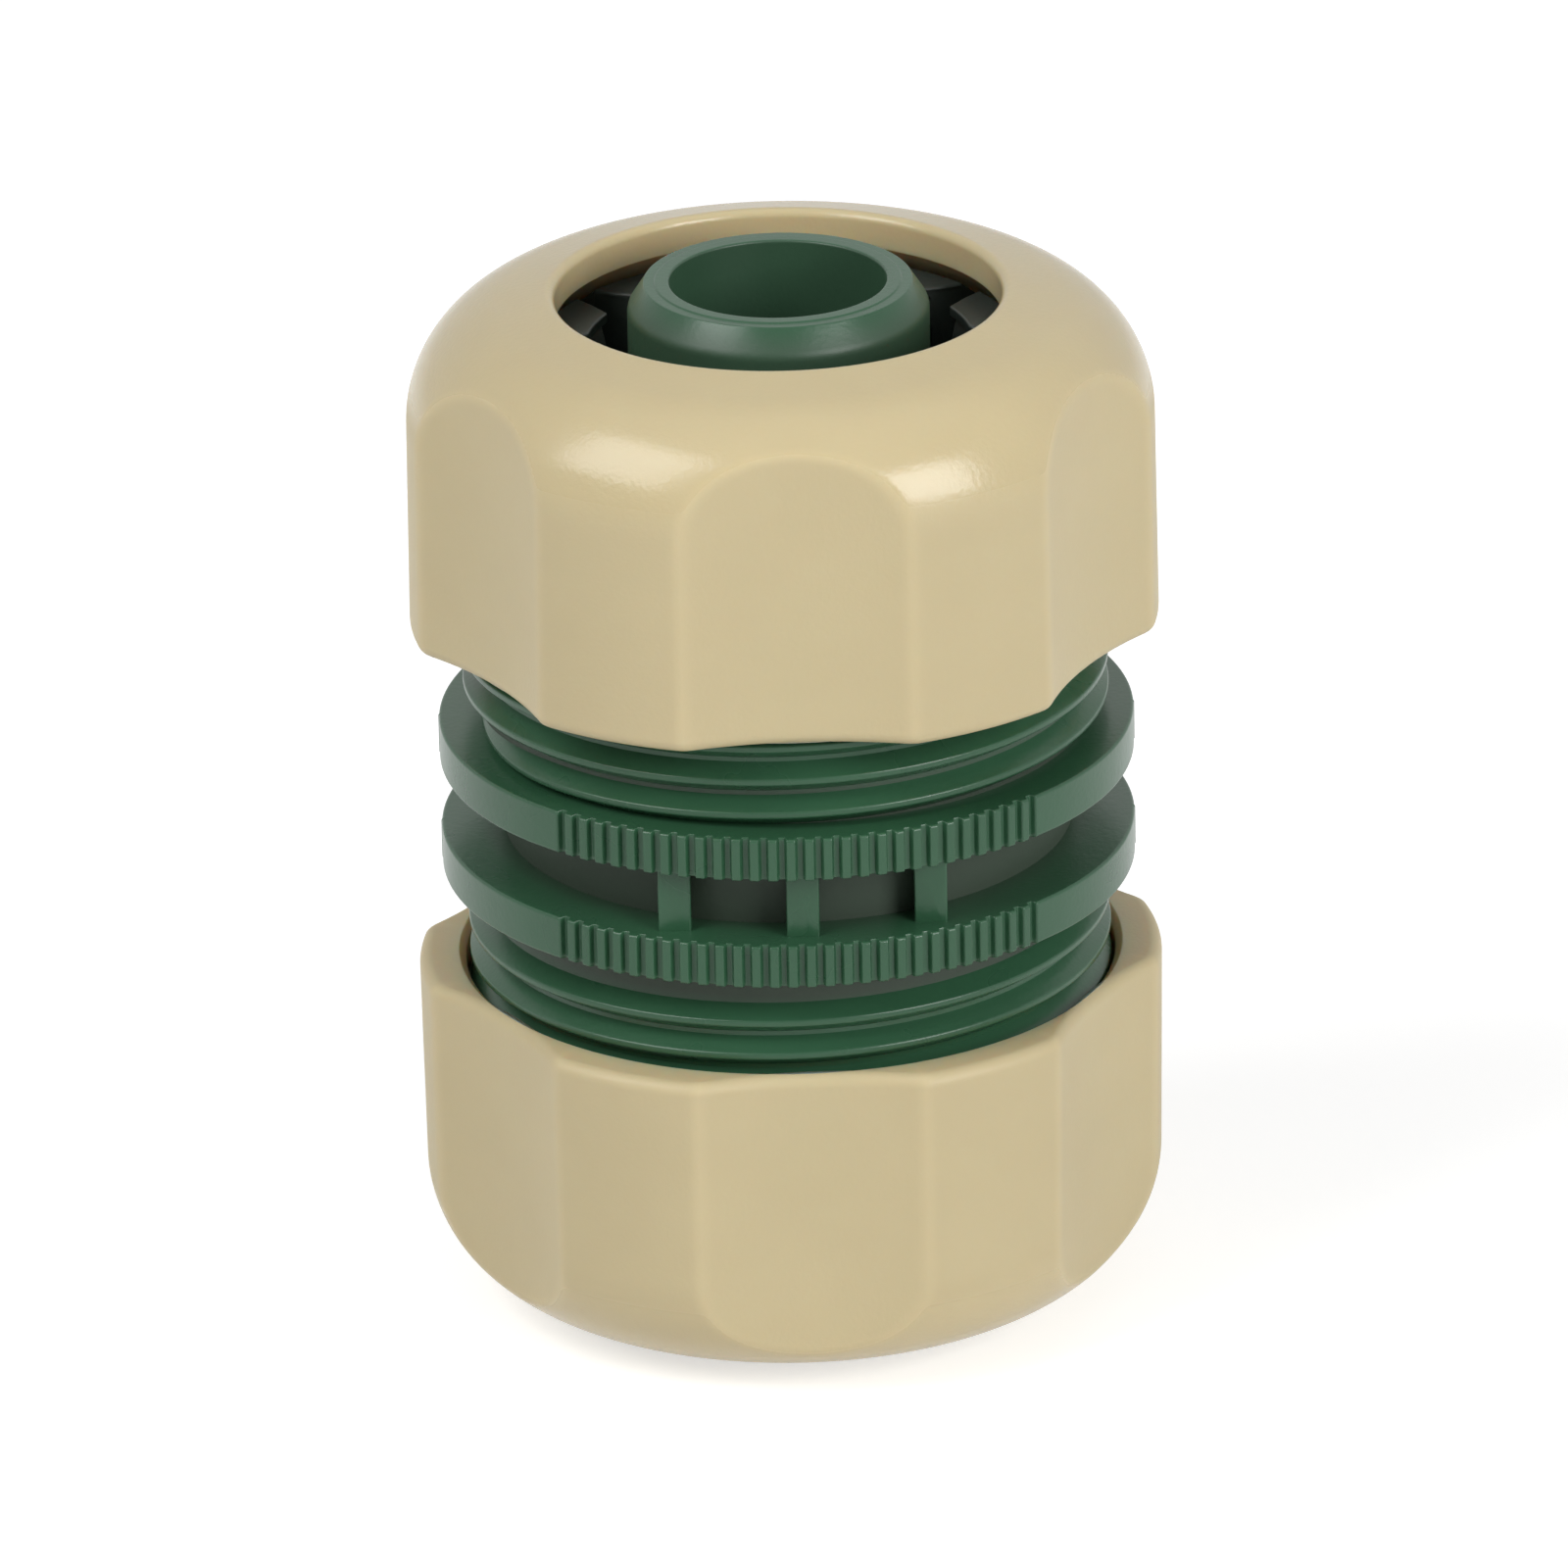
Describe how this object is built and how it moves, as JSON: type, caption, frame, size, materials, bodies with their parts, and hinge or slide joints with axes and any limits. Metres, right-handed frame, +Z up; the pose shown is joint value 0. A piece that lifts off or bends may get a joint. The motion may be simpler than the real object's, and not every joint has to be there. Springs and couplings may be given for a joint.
{
  "type": "hose mender",
  "caption": "Straight compression mender that joins the cut ends of a garden hose: a ribbed coupler body with hose tails, split gripping rings and domed, scalloped clamp nuts.",
  "frame": {"origin": "centre of the whole part, on the waterway's axis midway between the two grip flanges", "axes": "+Z up along the waterway, -Y towards the side seen in front, +X to the right of it"},
  "size_m": [0.0362, 0.035, 0.0518],
  "materials": {
    "body_green": "semi-gloss moulded",
    "nut_beige": "glossy on the lobes and crown, fine matte texture in the scallops",
    "ring_green": "satin moulded"
  },
  "bodies": {
    "coupler": {"coupler_body": "body_green"},
    "upper_ring": {"upper_gripping_ring": "ring_green"},
    "upper_nut": {"upper_nut": "nut_beige"},
    "lower_ring": {"lower_gripping_ring": "ring_green"},
    "lower_nut": {"lower_nut": "nut_beige"}
  },
  "joints": [
    {"name": "upper_ring_slide", "type": "slide", "parent": "coupler", "child": "upper_ring", "axis": [0, 0, 1], "range_m": [-0.00445, 0.0013]},
    {"name": "upper_nut_turn", "type": "hinge", "parent": "upper_ring", "child": "upper_nut", "pos_m": [0, 0, 0.017], "axis": [0, 0, 1], "range_deg": [-931.8, 270]},
    {"name": "lower_ring_slide", "type": "slide", "parent": "coupler", "child": "lower_ring", "axis": [0, 0, 1], "range_m": [-0.0013, 0.00445]},
    {"name": "lower_nut_turn", "type": "hinge", "parent": "lower_ring", "child": "lower_nut", "pos_m": [0, 0, -0.017], "axis": [0, 0, 1], "range_deg": [-270, 931.8]}
  ],
  "couplings": [
    {"joint": "upper_ring_slide", "follows": "upper_nut_turn", "m_per_rad": 0.00027056},
    {"joint": "lower_ring_slide", "follows": "lower_nut_turn", "m_per_rad": 0.00027056}
  ]
}
